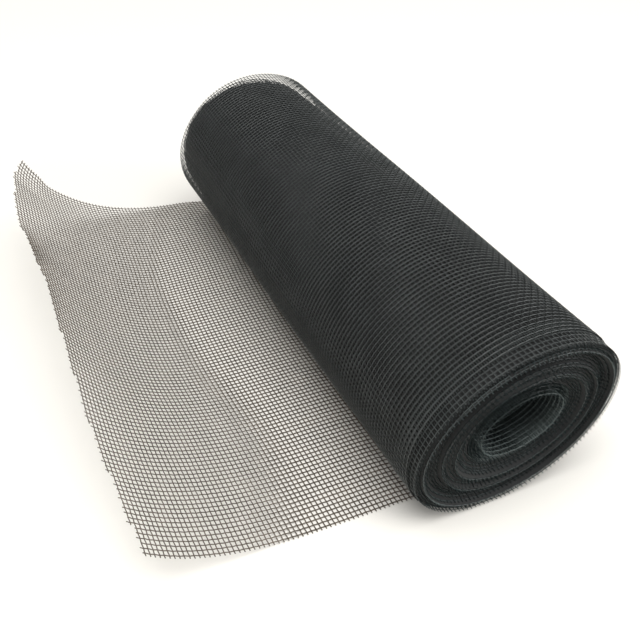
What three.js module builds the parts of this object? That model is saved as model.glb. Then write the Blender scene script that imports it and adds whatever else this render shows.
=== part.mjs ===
// A short roll of insect screen lying on a surface. The net is wound loosely round an open
// centre, and its loose end is drawn out from under the roll and curls up at the cut end.
// Millimetres, +Z up, the roll's axis along Y. The origin is on the surface, straight below the
// middle of the roll's oval at mid-length, where the flat strip lies on which the roll rests.
// -X is the side where the loose end lies.

import * as THREE from "three";

// Driving dimensions of the net
const NET_WIDTH = 183.4;          // selvage to selvage, along the roll
const NEAR_SELVAGE = -81;         // Y of the loose end's near selvage where it leaves the roll
const LOOSE_THICKNESS = 1.1;      // of the loose end's solid
const SEAT_GAP = 0.3;             // between the loose end and the roll above it

// Driving dimensions of the roll
const ROLL_NEAR = -90.6;          // Y of the wound body's near end
const ROLL_FAR = 88.4;            // Y from which the far end's turns stand out
const FLAT_DEPTH = 0.35;          // how far the roll's own weight flattens its underside
const TURN_DRIFT = 8;             // how far the outermost turn has slid along the roll in one turn
const RIM_OVERHANG = 2.6;         // least overhang of the outermost turn past the far end
const OUTER_TURN = 0.94;          // where the outermost turn starts, as a share of the wall
const STEP_SLOPE = 0.012;         // share of the wall over which one step of an end face falls

// The roll's cross-section at its two ends: the half axes of the slightly crushed oval, and
// how far the oval leans
const SECTIONS = [
  { y: ROLL_NEAR, halfWide: 34.6, halfHigh: 25.9, lean: 19.5 },
  { y: ROLL_FAR, halfWide: 32.2, halfHigh: 28.1, lean: 9.8 },
];

// The open centre: its place beside and above the middle of the oval, half axes and lean
const HOLLOW = { dx: 2.6, dz: -1.2, halfWide: 13.2, halfHigh: 8.6, lean: 17 };

// Bands of turns on the near end face, inside the outermost turn and from the outside in: each
// runs in to a share of the wall, 1 outside and 0 at the open centre, and stands out from the
// body's end by so much
const NEAR_BANDS = [
  { share: 0.82, out: 0.6 },
  { share: 0.6, out: -1.4 },
  { share: 0.38, out: 0.4 },
  { share: 0.16, out: -2.2 },
  { share: 0, out: -0.8 },
];

// The same on the far end face, inside the overhanging outermost turn
const FAR_BANDS = [
  { share: 0.7, out: 3 },
  { share: 0.35, out: 4.2 },
  { share: 0, out: 2.2 },
];

// The loose end, a row for each section across the net: distance from the near selvage, where
// the net leaves the surface and where it is cut, as lengths of net from the roll's axis, the
// slope in degrees that it would have 60 mm past the lift, how late that slope builds up, and
// how much less net has been drawn out from under the roll, as the roll sits askew on it
const LOOSE_ROWS = [
  { at: 0, lift: 47.8, slope: 40.9, late: 1.75, cut: 104.6, held: 0 },
  { at: 40, lift: 42.3, slope: 37.7, late: 1.44, cut: 107.9, held: 0 },
  { at: 80, lift: 53.8, slope: 60.6, late: 0.99, cut: 111.1, held: 0 },
  { at: 115, lift: 57.6, slope: 59.8, late: 0.71, cut: 113.6, held: 2.3 },
  { at: 140, lift: 58.1, slope: 50.2, late: 0.56, cut: 115.4, held: 5.3 },
  { at: 160, lift: 49.9, slope: 48.1, late: 0.79, cut: 115.3, held: 7.1 },
  { at: 173, lift: 42.7, slope: 46.4, late: 1.1, cut: 114.2, held: 7.8 },
  { at: NET_WIDTH, lift: 40.8, slope: 47.4, late: 1.33, cut: 112.8, held: 7.7 },
];
const SLOPE_LENGTH = 60;

// The near part of the net draws in from its selvage towards the cut end: by so much over so
// much of the net's width, from one length to another
const DRAW_IN = { by: 1.4, width: 60, from: 20, length: 80 };

// The far selvage is turned up over its last stretch, more and more towards the cut end: the
// angle is the turn at the length "full", and it grows no further than "most" times that
const TURN_UP = { strip: 12.9, angle: 26, from: 30, full: 113, most: 1.2 };
const LEAST_BEND = 1e-4;          // radians; a smaller bend counts as straight

// Mesh steps
const ROLL_SIDES = 64;
const ROLL_LENGTHS = 10;
const HOLLOW_LENGTHS = 6;
const LOOSE_ALONG = 30;
const LOOSE_ACROSS = 38;
const ARC_STEPS = 60;

const lerp = THREE.MathUtils.lerp;
const radians = THREE.MathUtils.degToRad;

// Smooth curve through one column of a table whose rows are placed by the column "at"
function column(rows, name, at) {
  const last = rows.length - 1;
  let i = 0;
  while (i < last - 1 && at > rows[i + 1].at) i++;
  const secant = (k) => (rows[k + 1][name] - rows[k][name]) / (rows[k + 1].at - rows[k].at);
  const slopeAt = (k) => (secant(Math.max(k - 1, 0)) + secant(Math.min(k, last - 1))) / 2;
  const span = rows[i + 1].at - rows[i].at;
  const t = THREE.MathUtils.clamp((at - rows[i].at) / span, 0, 1);
  const a = 2 * t ** 3 - 3 * t ** 2 + 1;
  const b = t ** 3 - 2 * t ** 2 + t;
  const c = t ** 3 - t ** 2;
  return a * rows[i][name] + (1 - a) * rows[i + 1][name] + span * (b * slopeAt(i) + c * slopeAt(i + 1));
}

// A leaning oval at one angle, measured anticlockwise from +X
function oval(halfWide, halfHigh, lean, angle) {
  const x = halfWide * Math.cos(angle);
  const z = halfHigh * Math.sin(angle);
  const turn = radians(lean);
  return [x * Math.cos(turn) - z * Math.sin(turn), x * Math.sin(turn) + z * Math.cos(turn)];
}

// Half height of a leaning oval, and how far its lowest point lies to the side of its middle
function ovalReach({ halfWide, halfHigh, lean }) {
  const sin = Math.sin(radians(lean));
  const cos = Math.cos(radians(lean));
  const height = Math.hypot(halfWide * sin, halfHigh * cos);
  return { height, lowest: (-(halfWide ** 2 - halfHigh ** 2) * sin * cos) / height };
}

function sectionAt(y) {
  const [near, far] = SECTIONS;
  const t = (y - near.y) / (far.y - near.y);
  return {
    halfWide: lerp(near.halfWide, far.halfWide, t),
    halfHigh: lerp(near.halfHigh, far.halfHigh, t),
    lean: lerp(near.lean, far.lean, t),
  };
}

// A point of the roll's cross-section at y: share 1 is the outside, 0 the open centre
function rollPoint(y, angle, share) {
  const section = sectionAt(y);
  const middle = ovalReach(section).height - FLAT_DEPTH;
  const [xOut, zOut] = oval(section.halfWide, section.halfHigh, section.lean, angle);
  const [xIn, zIn] = oval(HOLLOW.halfWide, HOLLOW.halfHigh, HOLLOW.lean, angle);
  const x = lerp(HOLLOW.dx + xIn, xOut, share);
  const z = lerp(middle + HOLLOW.dz + zIn, middle + zOut, share);
  return new THREE.Vector3(x, y, Math.max(z, 0));
}

// Share of the outermost turn that has been wound at an angle: it starts at the underside,
// goes up the +X side and over the top, and comes down the -X side
function woundShare(angle) {
  return THREE.MathUtils.euclideanModulo(angle + Math.PI / 2, 2 * Math.PI) / (2 * Math.PI);
}

// The outermost turn's place along the roll: it lies farther back the less of it is wound
function outerTurnSlide(angle) {
  return TURN_DRIFT * (1 - woundShare(angle));
}

// A closed solid from a loop of rings, each a closed row of points
function solidFromRings(rings) {
  const positions = [];
  const index = [];
  const sides = rings[0].length;
  rings.forEach((ring) => ring.forEach((point) => positions.push(point.x, point.y, point.z)));
  for (let i = 0; i < rings.length; i++) {
    const next = (i + 1) % rings.length;
    for (let j = 0; j < sides; j++) {
      const k = (j + 1) % sides;
      const a = i * sides + j;
      const b = i * sides + k;
      const c = next * sides + k;
      const d = next * sides + j;
      index.push(a, b, c, a, c, d);
    }
  }
  const geometry = new THREE.BufferGeometry();
  geometry.setAttribute("position", new THREE.Float32BufferAttribute(positions, 3));
  geometry.setIndex(index);
  return geometry;
}

// One ring of the roll, with its place along the roll given for each angle
function rollRing(share, yAt) {
  const ring = [];
  for (let j = 0; j < ROLL_SIDES; j++) {
    const angle = (2 * Math.PI * j) / ROLL_SIDES;
    const y = yAt(angle);
    ring.push(rollPoint(y, angle, share));
  }
  return ring;
}

// The roll: down the outside from far to near, in over the near end's bands, back through
// the open centre, and out over the far end's bands to the overhanging outermost turn
function woundRoll() {
  const rings = [];
  const nearEdge = (angle) => ROLL_NEAR + outerTurnSlide(angle);
  const farEdge = (angle) => ROLL_FAR + RIM_OVERHANG + outerTurnSlide(angle);
  for (let i = 0; i <= ROLL_LENGTHS; i++) {
    rings.push(rollRing(1, (angle) => lerp(farEdge(angle), nearEdge(angle), i / ROLL_LENGTHS)));
  }
  rings.push(rollRing(OUTER_TURN, nearEdge));
  for (let i = 0; i < NEAR_BANDS.length; i++) {
    const outside = i === 0 ? OUTER_TURN : NEAR_BANDS[i - 1].share;
    const y = ROLL_NEAR - NEAR_BANDS[i].out;
    rings.push(rollRing(outside - STEP_SLOPE, () => y));
    rings.push(rollRing(NEAR_BANDS[i].share, () => y));
  }
  const nearCentre = ROLL_NEAR - NEAR_BANDS[NEAR_BANDS.length - 1].out;
  const farCentre = ROLL_FAR + FAR_BANDS[FAR_BANDS.length - 1].out;
  for (let i = 1; i < HOLLOW_LENGTHS; i++) {
    rings.push(rollRing(0, () => lerp(nearCentre, farCentre, i / HOLLOW_LENGTHS)));
  }
  for (let i = FAR_BANDS.length - 1; i >= 0; i--) {
    const outside = i === 0 ? OUTER_TURN : FAR_BANDS[i - 1].share;
    const y = ROLL_FAR + FAR_BANDS[i].out;
    rings.push(rollRing(FAR_BANDS[i].share, () => y));
    rings.push(rollRing(outside - STEP_SLOPE, () => y));
  }
  rings.push(rollRing(OUTER_TURN, farEdge));
  return solidFromRings(rings);
}

// Where the loose end's solid starts, as a length of net from the roll's axis: far enough out
// from the roll's resting strip for the roll's round underside to clear it
function looseStart(at) {
  const y = Math.min(NEAR_SELVAGE + at, ROLL_FAR);
  const section = sectionAt(y);
  const { height, lowest } = ovalReach(section);
  const bend = (section.halfWide * section.halfHigh) ** 2 / height ** 3;
  const rise = LOOSE_THICKNESS + SEAT_GAP + FLAT_DEPTH;
  return column(LOOSE_ROWS, "held", at) - lowest + Math.sqrt(rise * (2 * bend - rise));
}

// A point in the middle of the loose end's thickness, at a length of net from the roll's
// axis and a distance from the near selvage, with the direction of its upper face
function loosePoint(length, at) {
  const lift = column(LOOSE_ROWS, "lift", at);
  const slope = radians(column(LOOSE_ROWS, "slope", at));
  const late = column(LOOSE_ROWS, "late", at);
  const slopeAfter = (past) => slope * (Math.max(past, 0) / SLOPE_LENGTH) ** late;
  let x = column(LOOSE_ROWS, "held", at) - Math.min(length, lift);
  let z = LOOSE_THICKNESS / 2;
  const past = Math.max(length - lift, 0);
  for (let i = 0; i < ARC_STEPS; i++) {
    const angle = slopeAfter((past * (i + 0.5)) / ARC_STEPS);
    x -= (Math.cos(angle) * past) / ARC_STEPS;
    z += (Math.sin(angle) * past) / ARC_STEPS;
  }
  const angle = slopeAfter(past);
  const along = (length - TURN_UP.from) / (TURN_UP.full - TURN_UP.from);
  const strip = THREE.MathUtils.clamp((at - (NET_WIDTH - TURN_UP.strip)) / TURN_UP.strip, 0, 1);
  const turn = radians(TURN_UP.angle) * THREE.MathUtils.clamp(along, 0, TURN_UP.most);
  // The strip bends on an even curve, from flat at its root to the full turn at the selvage
  const bentLength = TURN_UP.strip * strip;
  const bend = turn * strip;
  const rise = bend > LEAST_BEND ? (bentLength * (1 - Math.cos(bend))) / bend : 0;
  const reach = bend > LEAST_BEND ? (bentLength * Math.sin(bend)) / bend : bentLength;
  const drawn = (Math.max(length - DRAW_IN.from, 0) / DRAW_IN.length) ** 2;
  const drawnIn = DRAW_IN.by * drawn * Math.max(1 - at / DRAW_IN.width, 0);
  const y = NEAR_SELVAGE + at + drawnIn - bentLength + reach;
  const face = new THREE.Vector3(Math.sin(angle), 0, Math.cos(angle));
  const point = new THREE.Vector3(x, y, z).addScaledVector(face, rise);
  const faceBent = face.multiplyScalar(Math.cos(bend)).add(new THREE.Vector3(0, -Math.sin(bend), 0));
  return { point, face: faceBent };
}

// The loose end: a sheet of even thickness over its middle surface, closed along its edges
function looseEnd() {
  const rows = [];
  for (let j = 0; j <= LOOSE_ACROSS; j++) {
    const at = (NET_WIDTH * j) / LOOSE_ACROSS;
    const start = looseStart(at);
    const cut = column(LOOSE_ROWS, "cut", at);
    const top = [];
    const bottom = [];
    for (let i = 0; i <= LOOSE_ALONG; i++) {
      const { point, face } = loosePoint(lerp(start, cut, i / LOOSE_ALONG), at);
      top.push(point.clone().addScaledVector(face, LOOSE_THICKNESS / 2));
      bottom.push(point.clone().addScaledVector(face, -LOOSE_THICKNESS / 2));
    }
    rows.push([...top, ...bottom.reverse()]);
  }
  return sheetFromRows(rows);
}

// A closed solid from a stack of closed rows, capped at the first and the last row, where
// each row runs out along the upper face and back along the lower one
function sheetFromRows(rows) {
  const positions = [];
  const index = [];
  const count = rows[0].length;
  rows.forEach((row) => row.forEach((point) => positions.push(point.x, point.y, point.z)));
  for (let j = 0; j < rows.length - 1; j++) {
    for (let i = 0; i < count; i++) {
      const k = (i + 1) % count;
      const a = j * count + i;
      const b = j * count + k;
      const c = (j + 1) * count + k;
      const d = (j + 1) * count + i;
      index.push(a, c, b, a, d, c);
    }
  }
  const half = count / 2;
  const lastRow = (rows.length - 1) * count;
  for (let i = 0; i < half - 1; i++) {
    const opposite = count - 1 - i;
    index.push(i, opposite - 1, opposite, i, i + 1, opposite - 1);
    index.push(lastRow + i, lastRow + opposite, lastRow + opposite - 1);
    index.push(lastRow + i, lastRow + opposite - 1, lastRow + i + 1);
  }
  const geometry = new THREE.BufferGeometry();
  geometry.setAttribute("position", new THREE.Float32BufferAttribute(positions, 3));
  geometry.setIndex(index);
  return geometry;
}

const woundNet = new THREE.MeshStandardMaterial({ color: 0x2f3231, roughness: 0.6, metalness: 0 });
const looseNet = new THREE.MeshStandardMaterial({ color: 0x55564f, roughness: 0.65, metalness: 0 });

const roll = new THREE.Mesh(woundRoll(), woundNet);
roll.name = "wound_roll";
const loose = new THREE.Mesh(looseEnd(), looseNet);
loose.name = "loose_end";

const group = new THREE.Group();
group.add(roll, loose);

export default group;
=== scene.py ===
import math

import bpy
import numpy as np
from mathutils import Matrix, Vector


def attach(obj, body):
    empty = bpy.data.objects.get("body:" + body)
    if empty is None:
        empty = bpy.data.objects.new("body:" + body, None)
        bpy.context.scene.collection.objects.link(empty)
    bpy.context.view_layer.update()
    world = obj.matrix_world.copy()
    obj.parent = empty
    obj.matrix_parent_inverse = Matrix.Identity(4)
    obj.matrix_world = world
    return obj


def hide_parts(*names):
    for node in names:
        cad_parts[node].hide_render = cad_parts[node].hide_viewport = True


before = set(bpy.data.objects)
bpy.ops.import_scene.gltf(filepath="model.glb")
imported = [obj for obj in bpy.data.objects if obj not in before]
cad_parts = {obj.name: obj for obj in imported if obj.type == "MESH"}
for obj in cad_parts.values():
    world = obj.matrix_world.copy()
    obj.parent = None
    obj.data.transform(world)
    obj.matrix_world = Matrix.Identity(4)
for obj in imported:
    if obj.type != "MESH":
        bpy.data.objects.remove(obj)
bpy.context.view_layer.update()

MM = 0.001

# The camera: 50.1 mm lens on a 36 mm sensor, held at a slight roll
CAMERA_PLACE = (-133.5, -219.4, 191.9)
CAMERA_YAW, CAMERA_PITCH, CAMERA_ROLL = 28.60, 36.87, 3.58
CAMERA_LENS = 50.1


def add_object(name, data):
    """Puts a mesh, a lamp or the camera into the scene."""
    item = bpy.data.objects.new(name, data)
    bpy.context.scene.collection.objects.link(item)
    return item


def make_camera():
    """Yaw is counted from the Y axis towards X, and pitch downwards."""
    yaw, pitch, roll = (math.radians(a) for a in (CAMERA_YAW, CAMERA_PITCH, CAMERA_ROLL))
    level = math.cos(pitch)
    ahead = Vector((math.sin(yaw) * level, math.cos(yaw) * level, -math.sin(pitch)))
    right = Vector((math.cos(yaw), -math.sin(yaw), 0))
    up = right.cross(ahead)
    x_axis = math.cos(roll) * right + math.sin(roll) * up
    y_axis = -math.sin(roll) * right + math.cos(roll) * up
    data = bpy.data.cameras.new("camera")
    data.lens = CAMERA_LENS
    data.sensor_width = 36
    data.clip_start = 0.01
    camera = add_object("camera", data)
    turn = Matrix((x_axis, y_axis, -ahead)).transposed().to_4x4()
    camera.matrix_world = Matrix.Translation(Vector(CAMERA_PLACE) * MM) @ turn
    bpy.context.scene.camera = camera


make_camera()

# The net: standard 18 by 16 insect screen
ALONG_PITCH = 25.4 / 18           # between the yarns that lie across it, from selvage to selvage
ACROSS_PITCH = 25.4 / 16          # between the yarns that run along it
YARN = 0.28                       # thickness of the coated yarn
LOOSE_YARN = 0.31                 # the loose end's yarns lie a little flatter and wider
WAVE = 0.085                      # how far a yarn rises and dips at a crossing
NET_WIDTH = 183.4
YARNS_ACROSS = 115                # that run along the wound net; the loose end has one more
LAST_YARN = YARNS_ACROSS - 1
SELVAGE_ENDS = 0.85               # how far the cut yarn ends stand out past the last crossing

# The roll lies along Y, with its ends here before the turns' steps
ROLL_NEAR, ROLL_FAR = -90.6, 88.4
FLAT_DEPTH = 0.35                 # by which its own weight flattens the underside
TURN_DRIFT = 8                    # by which the outermost turn has slid along, as it was wound
RIM_OVERHANG = 2.6                # of the outermost turn at the far end

# Cross-section at the two ends: half width, half height and lean in degrees
SECTION_NEAR = (34.6, 25.9, 19.5)
SECTION_FAR = (32.2, 28.1, 9.8)
# The open centre: its place from the middle of the oval, half width, half height and lean
HOLLOW = (2.6, -1.2, 13.2, 8.6, 17)

# Slight waves, as a hand-wound net has: height, waves round the roll, and how they wander along
# the roll and from turn to turn; they die out in the last bit above the floor
ROLL_WAVES = ((0.16, 2.0, 0.045, 1.7), (0.1, 5.3, -0.02, 0.0))
WAVES_FROM_FLOOR = 12
# Each turn rests on the ones under it
REST_HEIGHT, REST_RISE, REST_TURNS = 0.24, 0.3, 4

# The wall's share at which each turn lies, 1 outside and 0 at the open centre: the innermost
# turns are looser. A turn is counted inwards from the underside.
TURN_SHARES = ((0, 1.0), (1, 0.972), (3, 0.924), (6, 0.84), (21, 0.27), (24, 0.15), (27, 0.0))
TURNS = 27
OUTER_START = -0.0725             # the turn at which the loose end runs into the outermost one

# How far each turn's edge stands out of the body's near and far end
NEAR_OUT = ((1, 0.0), (1.4, 0.8), (2, 1.0), (3, 0.3), (5.2, 0.4), (5.6, 1.5), (6.6, 1.4), (7, -0.4),
            (9, -1.4), (11, -1.1), (12.2, -0.4), (12.6, 0.8), (13.6, 0.7), (14, -0.6), (17, -0.2),
            (17.4, 0.6), (18.4, 0.4), (18.8, -1.1), (22, -2.3), (24, -2.0), (27, -0.8))
FAR_OUT = ((1, RIM_OVERHANG), (1.3, 6.0), (1.5, 6.5), (1.7, 5.4), (1.9, 4.2), (2.3, 6.2), (2.6, 6.0),
           (3, 5.4), (7, 3.8), (9, 4.2), (15, 4.2), (17, 3.4), (20, 2.4), (24, 2.7), (27, 2.2))

# At the far end the outermost turn is slack: it stands off the rest of the roll, most of all on
# a line that leans by the angle
STAND_OFF, STAND_OFF_LENGTH, STAND_OFF_ANGLE = 2.5, 80, 27
STAND_OFF_SIDE = 0.24             # share of it that is the rest of the roll lying off centre
STAND_OFF_GROWTH = 1.15           # its power law towards the end
STAND_OFF_MOST = 1.1              # where it stops growing, past the body's end
# The slack turn runs into the rest from this turn on, over so much of a turn
INSIDE_FROM, INSIDE_OVER = 0.9, 0.2

# The loose end. Each row has one value for each section across the net: the section's distance
# from the near selvage, where the net leaves the floor, the slope 60 mm past that, how late the
# slope builds up, where the net is cut, and how much less of it has been drawn out, as the roll
# sits askew on it.
NEAR_SELVAGE = -81                # Y of its near selvage where it leaves the roll
LOOSE_AT = (0, 40, 80, 115, 140, 160, 173, NET_WIDTH)
LOOSE_LIFT = (47.8, 42.3, 53.8, 57.6, 58.1, 49.9, 42.7, 40.8)
LOOSE_SLOPE = (40.9, 37.7, 60.6, 59.8, 50.2, 48.1, 46.4, 47.4)
LOOSE_LATE = (1.75, 1.44, 0.99, 0.71, 0.56, 0.79, 1.1, 1.33)
LOOSE_CUT = (104.6, 107.9, 111.1, 113.6, 115.4, 115.3, 114.2, 112.8)
LOOSE_HELD = (0, 0, 0, 2.3, 5.3, 7.1, 7.8, 7.7)
SLOPE_LENGTH = 60
ARC_STEPS = 40
# Its net is drawn from here, under the roll, where the outermost turn starts
LOOSE_START_NEAR, LOOSE_START_FAR = 6.6, 9.6
# Under the roll it slides over to meet the outermost turn: its near and its far selvage move by
# so much along the roll, over so much length
SLIDE_NEAR, SLIDE_FAR, SLIDE_FROM, SLIDE_LENGTH = 1.6, 3.4, 8, 22
LOOSE_HEIGHT = 0.28               # of the net's middle over the floor
# The near part of the net draws in from its selvage towards the cut
DRAW_IN, DRAW_IN_WIDTH, DRAW_IN_FROM, DRAW_IN_LENGTH = 1.4, 60, 20, 80
# The far selvage is turned up over its last stretch, more and more towards the cut
TURN_UP_STRIP, TURN_UP_ANGLE, TURN_UP_FROM, TURN_UP_FULL, TURN_UP_MOST = 12.9, 26, 30, 113, 1.2
# and its last bit stands up like an ear
EAR_ANGLE, EAR_FROM, EAR_LENGTH = 13, 96, 8
# The yarn ends past the selvage bend on by so much of the strip; a flat net keeps a trace of bend
STRIP_MOST, SMALLEST_BEND = 1.06, 1e-5
# The knife stopped and started again here: place across the net and how far the cut jumps
CUT_STEPS = ((0, 0), (95, 0), (104, -1.3), (106, -1.2), (114, 0.7), (122, 0.9), (124, 0.1), (184, 0))
CUT_STEPS_MOST = 3                # more than the highest of them
# The cut yarn ends are uneven: shares of the pitch by which one stands out past its last crossing
CUT_END_MIDDLE, CUT_END_SPREAD, CUT_END_RHYTHM = 0.48, 0.32, 2.4
# The other ends reach so much of the pitch towards the outermost turn
START_END = 0.5


def smooth_row(at, values, where):
    """Smooth curve through a table's row, the same as in the frame's own source."""
    at, values = np.asarray(at, float), np.asarray(values, float)
    where = np.asarray(where, float)
    i = np.clip(np.searchsorted(at, where, side="left") - 1, 0, len(at) - 2)
    secants = np.diff(values) / np.diff(at)
    slopes = (np.r_[secants[0], secants] + np.r_[secants, secants[-1]]) / 2
    span = at[i + 1] - at[i]
    t = np.clip((where - at[i]) / span, 0, 1)
    a = 2 * t**3 - 3 * t**2 + 1
    b = t**3 - 2 * t**2 + t
    c = t**3 - t**2
    return a * values[i] + (1 - a) * values[i + 1] + span * (b * slopes[i] + c * slopes[i + 1])


def between(pairs, where):
    """Straight lines through pairs of place and value."""
    places, values = zip(*pairs)
    return np.interp(where, places, values)


def oval(half_wide, half_high, lean, angle):
    """X and Z of a leaning oval's point, from the oval's middle."""
    x, z = half_wide * np.cos(angle), half_high * np.sin(angle)
    lean = np.radians(lean)
    return x * np.cos(lean) - z * np.sin(lean), x * np.sin(lean) + z * np.cos(lean)


def turn_edges(turn):
    """Y of a turn's near and far selvage; the outermost turn has slid along as it was wound."""
    slide = TURN_DRIFT * np.clip(1 - turn, 0, 1)
    near = ROLL_NEAR - between(NEAR_OUT, turn) + slide
    far = ROLL_FAR + between(FAR_OUT, turn) + slide
    return near, far


def roll_point(turn, y):
    """A point of the wound net: turn counts inwards from the underside, y lies along the roll."""
    turn, y = np.broadcast_arrays(np.asarray(turn, float), np.asarray(y, float))
    t = (y - ROLL_NEAR) / (ROLL_FAR - ROLL_NEAR)
    wide, high, lean = (a + (b - a) * t for a, b in zip(SECTION_NEAR, SECTION_FAR))
    lean_sin, lean_cos = np.sin(np.radians(lean)), np.cos(np.radians(lean))
    middle = np.hypot(wide * lean_sin, high * lean_cos) - FLAT_DEPTH
    angle = 2 * np.pi * turn - np.pi / 2
    share = between(TURN_SHARES, turn)
    x_out, z_out = oval(wide, high, lean, angle)
    dx, dz, hollow_wide, hollow_high, hollow_lean = HOLLOW
    x_in, z_in = oval(hollow_wide, hollow_high, hollow_lean, angle)
    x = x_out * share + (dx + x_in) * (1 - share)
    z = middle + z_out * share + (dz + z_in) * (1 - share)
    # The rest of the roll is drawn in from the outermost turn at the far end
    far_share = (y - (ROLL_FAR - STAND_OFF_LENGTH)) / STAND_OFF_LENGTH
    far_share = np.clip(far_share, 0, STAND_OFF_MOST)**STAND_OFF_GROWTH
    lean = np.radians(STAND_OFF_ANGLE)
    inside = np.clip((turn - INSIDE_FROM) / INSIDE_OVER, 0, 1)
    drawn_in = STAND_OFF * far_share * inside * share * (np.cos(angle - lean) + STAND_OFF_SIDE)
    x = x - drawn_in * np.cos(lean)
    z = z - drawn_in * np.sin(lean)
    wave = sum(height * np.sin(waves * angle + along * y + inwards * turn)
               for height, waves, along, inwards in ROLL_WAVES)
    wave = wave * np.clip(np.abs(z) / WAVES_FROM_FLOOR, 0, 1)
    x = x + wave * np.cos(angle)
    z = z + wave * np.sin(angle)
    rest = REST_HEIGHT + REST_RISE * np.minimum(np.round(turn), REST_TURNS)
    return np.stack([x, y, np.maximum(z, rest)], axis=-1)


def roll_facing(turn, y):
    """The wound net's outward face at a point."""
    step = 1e-3
    along = roll_point(turn + step, y) - roll_point(turn - step, y)
    out = np.cross(np.array([0.0, 1.0, 0.0]), along)
    return out / np.linalg.norm(out, axis=-1, keepdims=True)


def loose_point(length, at):
    """A point of the loose end's net and its upward face: length is counted from the roll's axis,
    at from the near selvage."""
    length, at = np.broadcast_arrays(np.asarray(length, float), np.asarray(at, float))
    lift = smooth_row(LOOSE_AT, LOOSE_LIFT, at)
    slope = np.radians(smooth_row(LOOSE_AT, LOOSE_SLOPE, at))
    late = smooth_row(LOOSE_AT, LOOSE_LATE, at)
    past = np.maximum(length - lift, 0)
    x = smooth_row(LOOSE_AT, LOOSE_HELD, at) - np.minimum(length, lift)
    z = np.full(x.shape, LOOSE_HEIGHT)
    for k in range(ARC_STEPS):
        angle = slope * (past * (k + 0.5) / ARC_STEPS / SLOPE_LENGTH) ** late
        x = x - np.cos(angle) * past / ARC_STEPS
        z = z + np.sin(angle) * past / ARC_STEPS
    angle = slope * (past / SLOPE_LENGTH) ** late
    strip = np.clip((at - (NET_WIDTH - TURN_UP_STRIP)) / TURN_UP_STRIP, 0, STRIP_MOST)
    grown = np.clip((length - TURN_UP_FROM) / (TURN_UP_FULL - TURN_UP_FROM), 0, TURN_UP_MOST)
    bent = TURN_UP_STRIP * strip
    ear = np.clip((length - EAR_FROM) / EAR_LENGTH, 0, 1)
    turned = TURN_UP_ANGLE * grown + EAR_ANGLE * ear**2 * (3 - 2 * ear)
    bend = np.maximum(np.radians(turned) * strip, SMALLEST_BEND)
    rise = bent * (1 - np.cos(bend)) / bend
    reach = bent * np.sin(bend) / bend
    drawn = (np.maximum(length - DRAW_IN_FROM, 0) / DRAW_IN_LENGTH) ** 2
    y = NEAR_SELVAGE + at + DRAW_IN * drawn * np.maximum(1 - at / DRAW_IN_WIDTH, 0) - bent + reach
    under = np.clip(1 + (x + SLIDE_FROM) / SLIDE_LENGTH, 0, 1)
    slid = SLIDE_NEAR + (SLIDE_FAR - SLIDE_NEAR) * at / NET_WIDTH
    y = y - slid * under**2 * (3 - 2 * under)
    up_x, up_z = np.sin(angle), np.cos(angle)
    point = np.stack([x + up_x * rise, y, z + up_z * rise], axis=-1)
    face = np.stack([up_x * np.cos(bend), -np.sin(bend), up_z * np.cos(bend)], axis=-1)
    return point, face


class Yarns:
    """Gathers yarns into one mesh. Each is a thin tube, open at its cut ends, with so many sides;
    with two sides it is a flat band."""

    def __init__(self, sides):
        self.sides = sides
        self.points, self.quads, self.count = [], [], 0

    def add(self, path, facing, thick=YARN):
        """Lays yarns of the same number of points: path and facing are (yarns, points, 3)."""
        if path.ndim == 2:
            path, facing = path[None], facing[None]
        yarns, length = path.shape[:2]
        if yarns == 0 or length < 2:
            return
        ahead = np.gradient(path, axis=1)
        side = np.cross(ahead, facing)
        side /= np.linalg.norm(side, axis=-1, keepdims=True)
        up = np.cross(side, ahead)
        up /= np.linalg.norm(up, axis=-1, keepdims=True)
        if self.sides == 2:
            turns = np.array([0.0, np.pi])
        else:
            turns = 2 * np.pi * (np.arange(self.sides) + 0.25) / self.sides
        ring = (np.cos(turns)[:, None] * side[:, :, None] + np.sin(turns)[:, None] * up[:, :, None])
        points = path[:, :, None] + ring * thick / 2
        numbers = self.count + np.arange(yarns * length * self.sides).reshape(yarns, length, self.sides)
        self.points.append(points.reshape(-1, 3))
        self.count += points.size // 3
        if self.sides == 2:
            quads = [numbers[:, :-1, 0], numbers[:, 1:, 0], numbers[:, 1:, 1], numbers[:, :-1, 1]]
        else:
            after = np.roll(numbers, -1, axis=2)
            quads = [numbers[:, :-1], after[:, :-1], after[:, 1:], numbers[:, 1:]]
        self.quads.append(np.stack(quads, axis=-1).reshape(-1, 4))

    def piece(self, name):
        points = np.concatenate(self.points) * MM
        quads = np.concatenate(self.quads)
        mesh = bpy.data.meshes.new(name)
        mesh.vertices.add(len(points))
        mesh.vertices.foreach_set("co", points.astype(np.float32).ravel())
        mesh.loops.add(quads.size)
        mesh.loops.foreach_set("vertex_index", quads.astype(np.int32).ravel())
        mesh.polygons.add(len(quads))
        mesh.polygons.foreach_set("loop_start", np.arange(0, quads.size, 4, dtype=np.int32))
        mesh.polygons.foreach_set("loop_total", np.full(len(quads), 4, np.int32))
        mesh.polygons.foreach_set("use_smooth", np.ones(len(quads), bool))
        mesh.update()
        mesh.validate()
        return add_object(name, mesh)


def over_under(rows, columns):
    """Plain weave: +1 where the yarn of a row lies above the yarn of a column, else -1."""
    return 1 - 2 * ((np.asarray(rows)[:, None] + np.asarray(columns)[None]) % 2)


def yarns_on_spiral():
    """The turn at which each yarn across the net lies, by its length from the outermost turn's
    start."""
    turns = np.linspace(OUTER_START, TURNS, TURNS * 400 + 1)
    steps = np.linalg.norm(np.diff(roll_point(turns, 0.0), axis=0), axis=1)
    lengths = np.r_[0, np.cumsum(steps)]
    return np.interp(np.arange(0, lengths[-1], ALONG_PITCH), lengths, turns)


YARN_TURNS = yarns_on_spiral()


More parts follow.
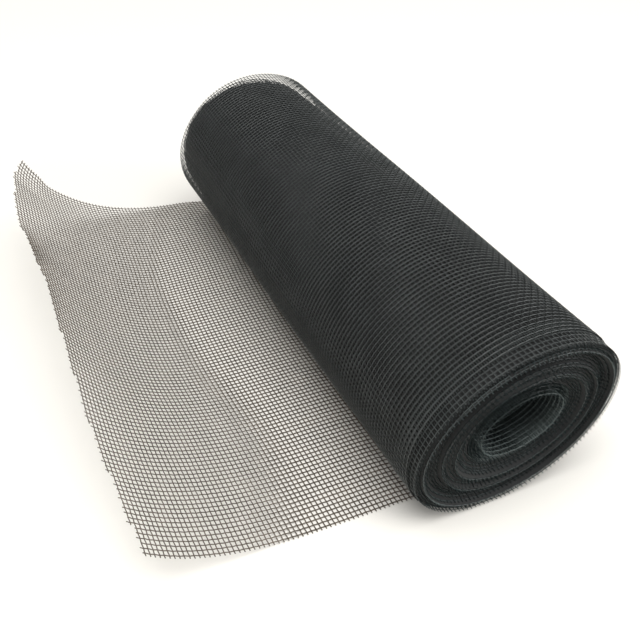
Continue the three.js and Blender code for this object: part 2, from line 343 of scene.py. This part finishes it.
def wound_net(first_turn, last_turn, first_yarn, last_yarn, across, along):
    """Lays the wound net between two turns, and between two of the yarns that run along the net
    (counted from the near selvage). Its yarns across and along the net go to these two, or are
    left out where None stands."""
    rows = np.nonzero((YARN_TURNS >= first_turn) & (YARN_TURNS <= last_turn))[0]
    columns = np.arange(first_yarn, last_yarn + 1)
    turns = YARN_TURNS[rows]
    near, far = turn_edges(turns)
    weave = over_under(rows, columns) * WAVE

    def place(column):
        """Y of a yarn that runs along the net."""
        width = LAST_YARN * ACROSS_PITCH + 2 * SELVAGE_ENDS
        share = (column * ACROSS_PITCH + SELVAGE_ENDS) / width
        return near[:, None] + (far - near)[:, None] * share

    y = place(columns)
    middle = roll_point(turns[:, None], y)
    facing = roll_facing(turns[:, None], y)
    # Yarns across the net, with their cut ends past the selvages
    ends = np.array([-SELVAGE_ENDS / ACROSS_PITCH, LAST_YARN + SELVAGE_ENDS / ACROSS_PITCH])
    lay = middle + facing * weave[..., None]
    lay_facing = facing
    if first_yarn == 0:
        end = roll_point(turns[:, None], place(ends[:1]))
        lay, lay_facing = np.concatenate([end, lay], 1), np.concatenate([facing[:, :1], lay_facing], 1)
    if last_yarn == LAST_YARN:
        end = roll_point(turns[:, None], place(ends[1:]))
        lay, lay_facing = np.concatenate([lay, end], 1), np.concatenate([lay_facing, facing[:, -1:]], 1)
    if across:
        across.add(lay, lay_facing)
    # Yarns along the net
    lay = middle - facing * weave[..., None]
    if along:
        along.add(lay.transpose(1, 0, 2), facing.transpose(1, 0, 2))


def loose_starts(at):
    """The length at which the loose end starts, under the roll."""
    under = LOOSE_START_NEAR + (LOOSE_START_FAR - LOOSE_START_NEAR) * np.asarray(at) / NET_WIDTH
    return under + smooth_row(LOOSE_AT, LOOSE_HELD, at)


def loose_net(yarns):
    """Lays the loose end's net: each yarn starts under the roll and ends where the knife passed."""
    last = int((max(LOOSE_CUT) + CUT_STEPS_MOST - LOOSE_START_NEAR) / ALONG_PITCH)
    rows = np.arange(last + 1)
    lengths = LOOSE_START_NEAR + rows * ALONG_PITCH
    columns = np.arange(YARNS_ACROSS + 1)
    across_pitch = (NET_WIDTH - 2 * SELVAGE_ENDS) / YARNS_ACROSS
    places = SELVAGE_ENDS + columns * across_pitch
    cuts = smooth_row(LOOSE_AT, LOOSE_CUT, places) + between(CUT_STEPS, places)
    starts = loose_starts(places)
    points, facing = loose_point(lengths[:, None], places[None])
    weave = over_under(rows, columns)[..., None] * WAVE
    kept = (lengths[:, None] <= cuts[None]) & (lengths[:, None] >= starts[None] - 0.01)
    for j in columns:
        there = np.nonzero(kept[:, j])[0]
        past = ALONG_PITCH * (CUT_END_MIDDLE + CUT_END_SPREAD * math.sin(j * CUT_END_RHYTHM))
        begin, begin_face = loose_point(lengths[there[0]] - START_END * ALONG_PITCH, places[j])
        end, end_face = loose_point(lengths[there[-1]] + past, places[j])
        path = points[there, j] - facing[there, j] * weave[there, j]
        faces = np.concatenate([begin_face[None], facing[there, j], end_face[None]])
        yarns.add(np.concatenate([begin[None], path, end[None]]), faces, LOOSE_YARN)
    for i in rows:
        there = np.nonzero(kept[i])[0]
        if len(there) < 2:
            continue
        for run in np.split(there, np.nonzero(np.diff(there) > 1)[0] + 1):
            if len(run) < 2:
                continue
            begin, begin_face = loose_point(lengths[i], places[run[0]] - SELVAGE_ENDS)
            end, end_face = loose_point(lengths[i], places[run[-1]] + SELVAGE_ENDS)
            path = points[i, run] + facing[i, run] * weave[i, run]
            path = np.concatenate([begin[None], path, end[None]])
            faces = np.concatenate([begin_face[None], facing[i, run], end_face[None]])
            yarns.add(path, faces, LOOSE_YARN)


def colour(hex_value):
    """sRGB hex to the linear colour that the shaders take."""
    parts = [int(hex_value[i:i + 2], 16) / 255 for i in (0, 2, 4)]
    return tuple(c / 12.92 if c <= 0.04045 else ((c + 0.055) / 1.055) ** 2.4 for c in parts) + (1.0,)


def add_node(material, kind, settings=None, **links):
    """Adds a node with its settings and its links: a link is a number, a colour or another node's
    output. An underscore in its name stands for a space, and _0, _1 and so on are sockets by
    number."""
    node = material.node_tree.nodes.new(kind)
    for name, value in (settings or {}).items():
        setattr(node, name, value)
    for name, value in links.items():
        socket = node.inputs[int(name[1:])] if name[0] == "_" else node.inputs[name.replace("_", " ")]
        if isinstance(value, bpy.types.NodeSocket):
            material.node_tree.links.new(value, socket)
        else:
            socket.default_value = value
    return node


def new_finish(name):
    """A material without nodes yet."""
    material = bpy.data.materials.new(name)
    material.use_nodes = True
    material.node_tree.nodes.clear()
    return material


def coated_yarn(name, dark, light, roughness):
    """PVC-coated fibreglass yarn: a smooth charcoal plastic skin over a fine glass strand. The skin
    gives soft glints, and the strand and some dust make its colour uneven from place to place."""
    material = new_finish(name)
    where = add_node(material, "ShaderNodeTexCoord").outputs["Object"]
    # Blotches about 6 mm wide, and a strand grain of 0.15 mm
    blotch = add_node(material, "ShaderNodeTexNoise", Vector=where, Scale=160.0, Detail=3.0)
    grain = add_node(material, "ShaderNodeTexNoise", Vector=where, Scale=6500.0, Detail=1.0)
    ramp = add_node(material, "ShaderNodeValToRGB", Fac=blotch.outputs["Fac"])
    ramp.color_ramp.elements[0].position, ramp.color_ramp.elements[0].color = 0.36, colour(dark)
    ramp.color_ramp.elements[1].position, ramp.color_ramp.elements[1].color = 0.66, colour(light)
    gloss = add_node(material, "ShaderNodeMapRange", _0=grain.outputs["Fac"], _1=0.3, _2=0.7,
                     _3=roughness - 0.08, _4=roughness + 0.1)
    bump = add_node(material, "ShaderNodeBump", Height=grain.outputs["Fac"], Strength=0.25,
                    Distance=0.00003)
    skin = add_node(material, "ShaderNodeBsdfPrincipled", Base_Color=ramp.outputs["Color"],
                    Roughness=gloss.outputs[0], IOR=1.54, Normal=bump.outputs["Normal"])
    add_node(material, "ShaderNodeOutputMaterial", Surface=skin.outputs["BSDF"])
    return material


def buried_turns(name, dark, light):
    """The turns under the outer ones: the same net, so dense that hardly any light comes back. Its
    colour is painted shade, near black, and a lighter copy is painted light round the open centre.
    """
    material = new_finish(name)
    where = add_node(material, "ShaderNodeTexCoord").outputs["Object"]
    # The yarns that run round the roll show as rows at the net's own spacing, with cloudy patches
    # about 2 mm wide where the turns lie closer
    split = add_node(material, "ShaderNodeSeparateXYZ", Vector=where)
    rows = add_node(material, "ShaderNodeMath", {"operation": "MULTIPLY"}, _0=split.outputs["Y"],
                    _1=2 * math.pi / (ACROSS_PITCH * MM))
    wave = add_node(material, "ShaderNodeMath", {"operation": "SINE"}, _0=rows.outputs[0])
    cloud = add_node(material, "ShaderNodeTexNoise", Vector=where, Scale=420.0, Detail=4.0)
    mixed = add_node(material, "ShaderNodeMath", {"operation": "MULTIPLY_ADD"}, _0=wave.outputs[0],
                     _1=0.12, _2=cloud.outputs["Fac"])
    ramp = add_node(material, "ShaderNodeValToRGB", Fac=mixed.outputs[0])
    ramp.color_ramp.elements[0].position, ramp.color_ramp.elements[0].color = 0.36, colour(dark)
    ramp.color_ramp.elements[1].position, ramp.color_ramp.elements[1].color = 0.7, colour(light)
    skin = add_node(material, "ShaderNodeBsdfPrincipled", Base_Color=ramp.outputs["Color"],
                    Roughness=0.75, IOR=1.5)
    add_node(material, "ShaderNodeOutputMaterial", Surface=skin.outputs["BSDF"])
    return material


# The outermost turn's yarns glint, and those that run round the roll have a painted glint: they are
# painted lighter than those across it. Those in the roll's shade are painted nearly black, a painted
# shade. The cut edges, the step and the centre are painted lighter, cooler and greyer, as painted
# light; the loose end's yarns lie in full light and look brown
across_yarn = coated_yarn("pvc_coated_fibreglass_yarn_across", "282B2A", "323534", 0.44)
# Painted glint: the same yarn as across, painted lighter so that the yarns round the roll shine
along_yarn_painted_glint = coated_yarn("pvc_coated_fibreglass_yarn_along_painted_glint", "464A49", "545857", 0.3)
# Painted light: the second turn's rim is the lit copy of its yarn, lighter than the shaded rest
rim_yarn_painted_light = coated_yarn("pvc_coated_fibreglass_yarn_rim_painted_light", "343A39", "434847", 0.33)
shaded_yarn = coated_yarn("pvc_coated_fibreglass_yarn_shaded", "161818", "1E2020", 0.42)
# Painted light: the turns' cut edges at the two ends and the centre, a lighter, cooler copy of the
# buried yarn
edge_yarn_painted_light = coated_yarn("pvc_coated_fibreglass_yarn_ends_painted_light", "242D2D", "323C3C", 0.35)
# Painted highlight: the step's edge is painted lighter than the other edges
step_yarn_painted_highlight = coated_yarn("pvc_coated_fibreglass_yarn_step_painted_highlight", "454B4B", "575F5E", 0.3)
# Painted light: the loose centre turns, painted lighter than the shaded yarns, as light in the hollow
centre_yarn_painted_light = coated_yarn("pvc_coated_fibreglass_yarn_centre_painted_light", "4B5453", "5B6564", 0.35)
loose_yarn = coated_yarn("pvc_coated_fibreglass_yarn_loose", "4B3F31", "63574A", 0.45)
# Painted shade: the buried turns' wall is painted near black; its centre copy is painted lighter, as
# light in the hollow
dense_net_painted_shade = buried_turns("dense_wound_net_painted_shade", "0B0D0D", "171A1A")
centre_net_painted_light = buried_turns("centre_wound_net_painted_light", "5A6361", "707A78")


def finish_piece(piece, material, node):
    """Gives a piece its finish and its place in the frame."""
    piece.data.materials.append(material)
    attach(piece, "root")
    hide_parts(node)
    return piece


def roll_piece(yarns, name, material):
    """Makes yarns of the wound net a piece."""
    return finish_piece(yarns.piece(name), material, "wound_roll")


RIM_YARNS = 6                     # how many yarns of the second turn show past the outermost
EDGE_YARNS = 3                    # how many yarns deep the turns inside are drawn at the ends
CENTRE_YARNS = 14                 # and those of the loose centre
STEP_TURNS = (5.5, 6.6)           # the edge that stands out of the near end face and catches light, with a painted highlight on its yarns
CENTRE_TURN, INNERMOST_TURN = 23.0, 26.0
# Deeper inside, the loose centre is drawn from this turn and up to this yarn
DEEP_TURN, DEEP_YARN = 23.6, 52
# The closed wall that stands for the buried turns lies between these turns, and so deep under
# their edges at the near and the far end
CORE_OUTSIDE, CORE_INSIDE = 2.8, 23.4
CORE_DEPTH_NEAR, CORE_DEPTH_FAR = 0.9, 0.75

# The outermost turn, seen whole
outer_across, outer_along = Yarns(4), Yarns(4)
wound_net(OUTER_START, 1.0, 0, LAST_YARN, outer_across, outer_along)
roll_piece(outer_across, "outer_turn_yarns_across", across_yarn)
roll_piece(outer_along, "outer_turn_yarns_along", along_yarn_painted_glint)

# The second and third turns, seen through its meshes
second_rim, second = Yarns(3), Yarns(3)
wound_net(1.0, 2.0, 0, RIM_YARNS, second_rim, second_rim)
wound_net(1.0, 2.0, RIM_YARNS, LAST_YARN, second, None)
wound_net(1.0, 2.0, RIM_YARNS + 1, LAST_YARN, None, second)
roll_piece(second_rim, "second_turn_rim", rim_yarn_painted_light)
roll_piece(second, "second_turn", shaded_yarn)
third = Yarns(2)
wound_net(2.0, CORE_OUTSIDE, 0, LAST_YARN, third, third)
roll_piece(third, "third_turn", shaded_yarn)

# The turns inside, drawn where they show at the two ends of the roll
near_edges, step_edge, far_edges = Yarns(3), Yarns(3), Yarns(3)
for first, last in ((CORE_OUTSIDE, STEP_TURNS[0]), (STEP_TURNS[1], CENTRE_TURN)):
    wound_net(first, last, 0, EDGE_YARNS - 1, near_edges, near_edges)
wound_net(*STEP_TURNS, 0, EDGE_YARNS - 1, step_edge, step_edge)
wound_net(CORE_OUTSIDE, CENTRE_TURN, YARNS_ACROSS - EDGE_YARNS, LAST_YARN, far_edges, far_edges)
roll_piece(near_edges, "turn_edges_near", edge_yarn_painted_light)
roll_piece(step_edge, "step_edge_near", step_yarn_painted_highlight)
roll_piece(far_edges, "turn_edges_far", edge_yarn_painted_light)

# The loose turns round the open centre
centre_near, centre_far, centre_deep, innermost = Yarns(3), Yarns(3), Yarns(2), Yarns(3)
wound_net(CENTRE_TURN, INNERMOST_TURN, 0, CENTRE_YARNS - 1, centre_near, centre_near)
wound_net(CENTRE_TURN, INNERMOST_TURN, YARNS_ACROSS - CENTRE_YARNS, LAST_YARN, centre_far, centre_far)
wound_net(DEEP_TURN, INNERMOST_TURN, CENTRE_YARNS, DEEP_YARN, centre_deep, centre_deep)
wound_net(INNERMOST_TURN, TURNS, 0, LAST_YARN, innermost, innermost)
roll_piece(centre_near, "centre_turns_near", edge_yarn_painted_light)
roll_piece(centre_far, "centre_turns_far", edge_yarn_painted_light)
roll_piece(centre_deep, "centre_turns_deep", centre_yarn_painted_light)
roll_piece(innermost, "innermost_turn", centre_yarn_painted_light)


def buried_core():
    """The closed wall of turns between the third one and the loose centre: rings go along its
    outside, inwards over its far end, back along the open centre and outwards over its near end."""
    sides, lengths, turn_step = 128, 24, 0.6
    angle_turns = np.arange(sides) / sides
    steps = np.arange(CORE_OUTSIDE, CORE_INSIDE, turn_step)

    def ends(turn):
        near, far = turn_edges(turn)
        return near + CORE_DEPTH_NEAR, far - CORE_DEPTH_FAR

    places = [(CORE_OUTSIDE, y) for y in np.linspace(*ends(CORE_OUTSIDE), lengths)]
    places += [(turn, ends(turn)[1]) for turn in steps[1:]]
    places += [(CORE_INSIDE, y) for y in np.linspace(*ends(CORE_INSIDE)[::-1], lengths)]
    places += [(turn, ends(turn)[0]) for turn in steps[:0:-1]]
    rings = [core_ring(turn, angle_turns, y) for turn, y in places]
    points = np.concatenate(rings) * MM
    count = len(rings)
    faces = []
    for i in range(count):
        for j in range(sides):
            after, k = (i + 1) % count, (j + 1) % sides
            faces.append((i * sides + j, i * sides + k, after * sides + k, after * sides + j))
    mesh = bpy.data.meshes.new("buried_turns")
    mesh.from_pydata(points.tolist(), [], faces)
    mesh.polygons.foreach_set("use_smooth", np.ones(len(faces), bool))
    # The wall of the open centre has the second finish, painted lighter as painted light in the hollow
    inside = np.zeros((count, sides), np.int32)
    first_inside = lengths + len(steps) - 1
    inside[first_inside:first_inside + lengths - 1] = 1
    mesh.polygons.foreach_set("material_index", inside.ravel())
    mesh.update()
    return add_object("buried_turns", mesh)


def core_ring(turn, angle_turns, y):
    """One closed ring of the wall: the spiral as it lies at one turn, without its pitch."""
    past = (turn - angle_turns) % 1
    before = roll_point(turn - past, y)
    after = roll_point(turn - past + 1, y)
    return before * (1 - past[:, None]) + after * past[:, None]


core = finish_piece(buried_core(), dense_net_painted_shade, "wound_roll")
core.data.materials.append(centre_net_painted_light)

# The loose end
loose_yarns = Yarns(4)
loose_net(loose_yarns)
loose_end = finish_piece(loose_yarns.piece("loose_net"), loose_yarn, "loose_end")

# The floor: a matt sheet of white paper that reaches so far each way
FLOOR_REACH = 3
floor_mesh = bpy.data.meshes.new("floor")
corners = [(x * FLOOR_REACH, y * FLOOR_REACH, 0) for x, y in ((-1, -1), (1, -1), (1, 1), (-1, 1))]
floor_mesh.from_pydata(corners, [], [(0, 1, 2, 3)])
floor = add_object("floor", floor_mesh)
paper = bpy.data.materials.new("white_paper")
paper.use_nodes = True
paper_skin = paper.node_tree.nodes["Principled BSDF"]
paper_skin.inputs["Base Color"].default_value = colour("F4F1EA")
paper_skin.inputs["Roughness"].default_value = 0.9
floor_mesh.materials.append(paper)


def soft_box(name, place, aim, size, power):
    """A studio soft box: metres and watts."""
    data = bpy.data.lights.new(name, "AREA")
    data.shape = "RECTANGLE"
    data.size, data.size_y = size
    data.energy = power
    lamp = add_object(name, data)
    lamp.location = place
    lamp.rotation_euler = (Vector(aim) - Vector(place)).to_track_quat("-Z", "Y").to_euler()


# One large box over the roll, and a small one that lights the near end face from the right
soft_box("top_soft_box", place=(-0.1, -0.2, 1.2), aim=(0, 0, 0), size=(1.5, 0.8), power=13.5)
soft_box("side_soft_box", place=(0.8, -0.7, 0.4), aim=(0.02, -0.09, 0.03), size=(0.5, 0.5), power=5)

world = bpy.data.worlds.new("studio")
world.use_nodes = True
background = world.node_tree.nodes["Background"]
background.inputs["Color"].default_value = colour("FFFFFF")
background.inputs["Strength"].default_value = 0.57
bpy.context.scene.world = world
bpy.context.scene.view_settings.view_transform = "Standard"
bpy.context.scene.view_settings.look = "None"
